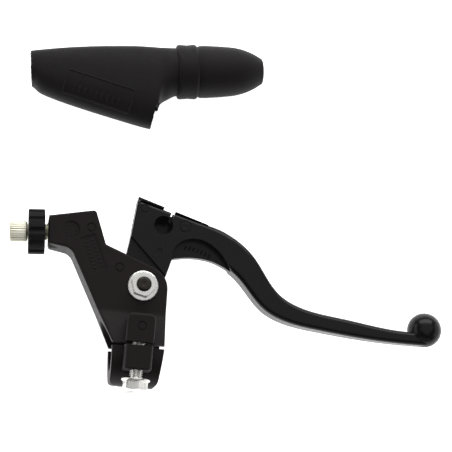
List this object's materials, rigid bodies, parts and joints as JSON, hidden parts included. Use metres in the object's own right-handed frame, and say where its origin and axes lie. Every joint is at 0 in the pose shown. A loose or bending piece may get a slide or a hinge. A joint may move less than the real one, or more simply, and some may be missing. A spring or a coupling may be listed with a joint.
{
  "type": "clutch lever",
  "caption": "Motorcycle clutch lever on its clamp-on perch, with a cable adjuster, a pivot bolt and a loose rubber dust cover.",
  "frame": {"origin": "centre of the handlebar clamp's bore, on the bar axis and on the assembly's mid-plane", "axes": "+X along the handlebar towards the lever's ball end, +Y from the bar towards the lever's head, +Z along the pivot axis out of the front face"},
  "size_m": [0.2043, 0.1712, 0.0458],
  "materials": {
    "cast_black": "matte black coat on a die-cast body",
    "lever_black": "satin black coat on a die-cast lever",
    "zinc_steel": "bright zinc plating",
    "yellow_zinc": "pale passivated zinc",
    "black_steel": "black oxide",
    "plain_steel": "plain steel",
    "bronze": "sintered bronze",
    "black_plastic": "moulded black plastic",
    "rubber": "matte black rubber"
  },
  "bodies": {
    "perch": {"perch_body": "cast_black", "pivot_bolt": "black_steel", "pivot_nut": "zinc_steel", "pivot_shim_front": "plain_steel", "pivot_shim_back": "plain_steel"},
    "cap": {"clamp_cap": "cast_black", "clamp_bolt_front": "zinc_steel", "clamp_bolt_back": "zinc_steel"},
    "lever": {"lever": "lever_black", "pivot_bush": "bronze"},
    "adjuster": {"adjuster_screw": "yellow_zinc"},
    "wheel": {"lock_wheel": "black_plastic"},
    "cover": {"dust_boot": "rubber"},
    "sleeve": {"boot_sleeve": "rubber"}
  },
  "joints": [
    {"name": "lever_pivot", "type": "hinge", "parent": "perch", "child": "lever", "pos_m": [0, 0.0275, 0], "axis": [0, 0, 1], "range_deg": [0, 28]},
    {"name": "adjuster_travel", "type": "slide", "parent": "perch", "child": "adjuster", "axis": [-0.9962, -0.0872, 0], "range_m": [-0.001, 0.008]},
    {"name": "lock_wheel_spin", "type": "hinge", "parent": "adjuster", "child": "wheel", "pos_m": [-0.04993, 0.04924, 0], "axis": [-0.9962, -0.0872, 0], "continuous": true},
    {"name": "clamp_cap_off", "type": "slide", "parent": "perch", "child": "cap", "axis": [0, -1, 0], "range_m": [0, 0.03]},
    {"name": "cover_lift", "type": "slide", "parent": "perch", "child": "cover", "axis": [0, 0, 1], "range_m": [0, 0.05]},
    {"name": "sleeve_pull", "type": "slide", "parent": "cover", "child": "sleeve", "axis": [0.9914, 0.1305, 0], "range_m": [0, 0.02]}
  ]
}
